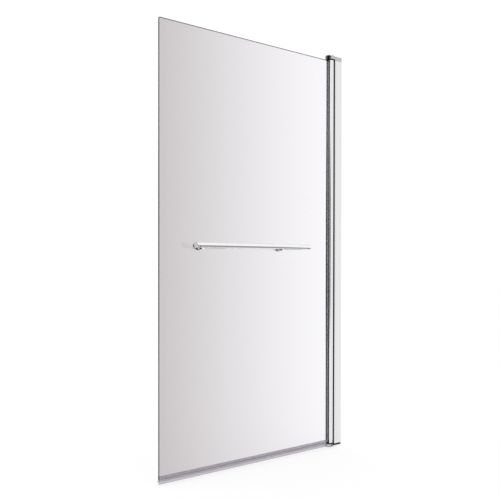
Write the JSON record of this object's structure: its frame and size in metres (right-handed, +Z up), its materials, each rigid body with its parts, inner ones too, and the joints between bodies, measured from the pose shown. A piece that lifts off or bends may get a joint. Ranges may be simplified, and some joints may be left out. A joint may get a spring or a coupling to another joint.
{
  "type": "bath screen",
  "caption": "Full-height hinged glass bath screen with a wall profile, a round pivot post, a clear bottom seal and a towel rail on the dry side.",
  "frame": {"origin": "middle of the wall channel's back face, which is the wall face, on the middle plane of the glass", "axes": "+X into the wall, so the screen reaches out along -X; -Y is the dry side with the towel rail, +Y the bath; +Z up"},
  "size_m": [0.8, 0.063, 1.4358],
  "materials": {
    "bright_aluminium": "bright polished and anodised, fine drawn lines along its length",
    "chrome": "polished chrome plate",
    "stainless_steel": "turned stainless steel",
    "nylon": "natural nylon",
    "black_nylon": "black nylon, smooth",
    "silicone": "cured translucent silicone",
    "gasket_rubber": "smooth black gasket rubber",
    "clear_pvc": "clear flexible PVC, slightly cloudy",
    "glass": "clear toughened glass with polished edges"
  },
  "bodies": {
    "wall_fixing": {"wall_channel": "bright_aluminium"},
    "jamb": {"hinge_jamb": "bright_aluminium", "hinge_seal_strips": "gasket_rubber", "clamp_screws": "stainless_steel", "clamp_screw_covers": "chrome", "top_cap": "chrome", "top_pivot_bracket": "stainless_steel", "top_pivot_pin": "stainless_steel", "top_bracket_screws": "stainless_steel", "bottom_cap": "chrome", "bottom_pivot_pin": "stainless_steel", "bottom_cap_screws": "stainless_steel"},
    "panel": {"pivot_post": "bright_aluminium", "rail_tube": "chrome", "rail_end_cap_free": "chrome", "rail_end_cap_wall": "chrome", "rail_posts": "chrome", "rail_rosettes": "chrome", "rail_cap_nuts": "chrome", "rail_grub_screws": "stainless_steel", "rail_saddle_screws": "stainless_steel", "rail_studs": "stainless_steel", "top_bush": "nylon", "bottom_bush": "nylon", "rail_hole_bushes": "nylon", "top_thrust_washer": "black_nylon", "bottom_thrust_washer": "black_nylon", "glass_bond": "silicone", "nose_strips": "gasket_rubber", "bottom_seal": "clear_pvc", "rail_washers_dry": "clear_pvc", "rail_washers_bath": "clear_pvc", "glass_panel": "glass"}
  },
  "joints": [
    {"name": "width_adjust", "type": "slide", "parent": "wall_fixing", "child": "jamb", "axis": [-1, 0, 0], "range_m": [0, 0.015]},
    {"name": "panel_swing", "type": "hinge", "parent": "jamb", "child": "panel", "pos_m": [-0.0474, 0, 0], "axis": [0, 0, 1], "range_deg": [-90, 85]}
  ]
}
